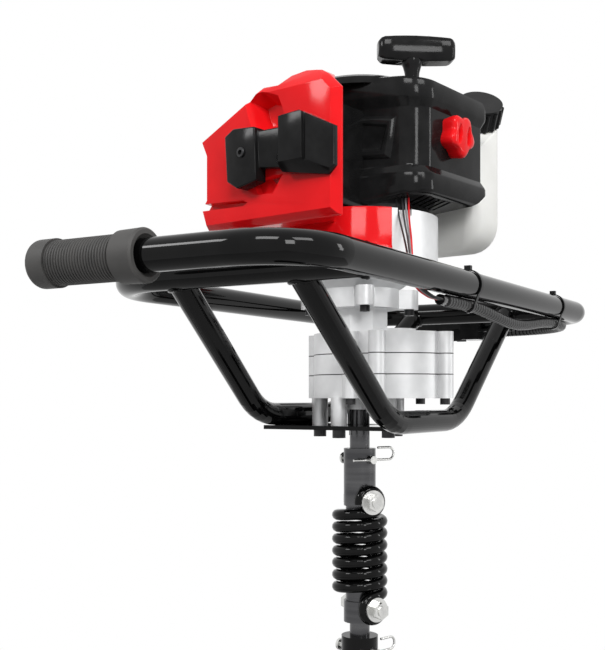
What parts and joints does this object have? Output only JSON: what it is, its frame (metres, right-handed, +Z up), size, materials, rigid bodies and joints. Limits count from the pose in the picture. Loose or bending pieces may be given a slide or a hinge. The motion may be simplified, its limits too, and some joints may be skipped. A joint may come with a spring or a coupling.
{
  "type": "earth auger",
  "caption": "Two-handled petrol earth auger: bent-tube frame round an engine and gearbox, with a sprung coupling driving a drill bit.",
  "frame": {"origin": "on the drilling axis, at the middle plane of the frame's loop", "axes": "+Z up along the drilling axis, +X along the loop to the throttle handle, +Y forward from the operator's bar"},
  "size_m": [0.724, 0.2985, 1.3974],
  "materials": {
    "black_paint": "gloss",
    "grip_rubber": "satin",
    "black_plastic": "satin",
    "red_plastic": "gloss",
    "cast_alloy": "cast",
    "steel": "satin",
    "grey_plastic": "matte",
    "foam": "matte",
    "tank_plastic": "translucent"
  },
  "bodies": {
    "frame": {"operator_bar": "black_paint", "loop_tube": "black_paint", "cradle_tube_front": "black_paint", "cradle_tube_rear": "black_paint", "gearbox_plate": "black_paint", "plate_bolts": "steel", "hand_grip": "grip_rubber", "throttle_handle": "black_plastic", "loom_ferrule": "black_plastic", "throttle_loom": "black_plastic", "loom_ties": "black_plastic", "control_wires": "black_plastic", "gearbox_top_cover": "cast_alloy", "gearbox_middle_case": "cast_alloy", "gearbox_bottom_cover": "cast_alloy", "case_bolts": "steel", "bearings": "steel", "output_seal": "grip_rubber", "fan_housing": "cast_alloy", "crankcase": "cast_alloy", "cylinder": "cast_alloy", "spark_plug": "steel", "plug_cover": "black_plastic", "engine_shroud": "red_plastic", "muffler": "steel", "carburettor": "cast_alloy", "filter_base": "grey_plastic", "filter_element": "foam", "filter_cover": "black_plastic", "fuel_tank": "tank_plastic", "recoil_housing": "black_plastic"},
    "trigger": {"throttle_trigger": "black_plastic"},
    "lock": {"throttle_lock": "black_plastic"},
    "switch": {"stop_switch": "red_plastic"},
    "output": {"output_gear": "steel", "output_shaft": "steel", "coupling_sleeve": "steel", "coupling_pin": "steel", "spring_bolt_upper": "steel", "shock_spring": "black_paint"},
    "counter": {"counter_shaft": "steel", "counter_gear": "steel"},
    "drum": {"clutch_drum": "steel"},
    "crank": {"crankshaft": "steel", "flywheel": "cast_alloy", "clutch_shoes": "steel"},
    "piston": {"piston": "cast_alloy"},
    "bit": {"spring_stub": "steel", "spring_bolt_lower": "steel", "bit_core": "black_paint", "bit_flight_lower": "black_paint", "bit_flight_upper": "black_paint", "bit_blades": "steel", "bit_point": "steel", "bit_pin": "steel"},
    "pull": {"starter_handle": "black_plastic", "starter_rope": "foam"},
    "reel": {"starter_reel": "black_plastic"},
    "cap": {"fuel_cap": "black_plastic"},
    "knob": {"filter_knob": "red_plastic"}
  },
  "joints": [
    {"name": "trigger_squeeze", "type": "hinge", "parent": "frame", "child": "trigger", "pos_m": [0.343, 0.031, -0.022], "axis": [1, 0, 0], "range_deg": [0, 7], "stiffness_Nm_per_rad": 0.4, "springref_deg": -5.73},
    {"name": "lock_press", "type": "slide", "parent": "frame", "child": "lock", "axis": [0, 0, -1], "range_m": [0, 0.003], "stiffness_N_per_m": 300, "springref_m": -0.002},
    {"name": "switch_slide", "type": "slide", "parent": "frame", "child": "switch", "axis": [0, 1, 0], "range_m": [-0.003, 0.003]},
    {"name": "output_spin", "type": "hinge", "parent": "frame", "child": "output", "pos_m": [0, 0, -0.08], "axis": [0, 0, 1], "continuous": true},
    {"name": "counter_spin", "type": "hinge", "parent": "frame", "child": "counter", "pos_m": [0, -0.042, -0.07], "axis": [0, 0, 1], "continuous": true},
    {"name": "drum_spin", "type": "hinge", "parent": "frame", "child": "drum", "pos_m": [0, 0, -0.03], "axis": [0, 0, 1], "continuous": true},
    {"name": "crank_spin", "type": "hinge", "parent": "frame", "child": "crank", "pos_m": [0, 0, 0.118], "axis": [0, 0, 1], "continuous": true},
    {"name": "piston_slide", "type": "slide", "parent": "frame", "child": "piston", "axis": [0.9877, -0.1564, 0], "range_m": [-0.014, 0.014]},
    {"name": "shock_twist", "type": "hinge", "parent": "output", "child": "bit", "pos_m": [0, 0, -0.3], "axis": [0, 0, 1], "range_deg": [-15, 15], "stiffness_Nm_per_rad": 150, "deforming": ["shock_spring"]},
    {"name": "starter_pull", "type": "slide", "parent": "frame", "child": "pull", "axis": [0, 0, 1], "range_m": [0, 0.6], "stiffness_N_per_m": 20, "springref_m": -0.1, "deforming": ["starter_rope"]},
    {"name": "reel_spin", "type": "hinge", "parent": "frame", "child": "reel", "pos_m": [0, 0, 0.191], "axis": [0, 0, 1], "range_deg": [0, 1400]},
    {"name": "cap_turn", "type": "hinge", "parent": "frame", "child": "cap", "pos_m": [0.13129, -0.07243, 0.188], "axis": [-0.5688, -0.4161, 0.7094], "range_deg": [0, 540]},
    {"name": "knob_turn", "type": "hinge", "parent": "frame", "child": "knob", "pos_m": [0.01144, -0.09395, 0.15], "axis": [-0.1564, -0.9877, 0], "range_deg": [0, 720]}
  ],
  "couplings": [
    {"joint": "counter_spin", "follows": "output_spin", "ratio": -4.6},
    {"joint": "drum_spin", "follows": "output_spin", "ratio": 27.6},
    {"joint": "reel_spin", "follows": "starter_pull", "rad_per_m": 40}
  ]
}
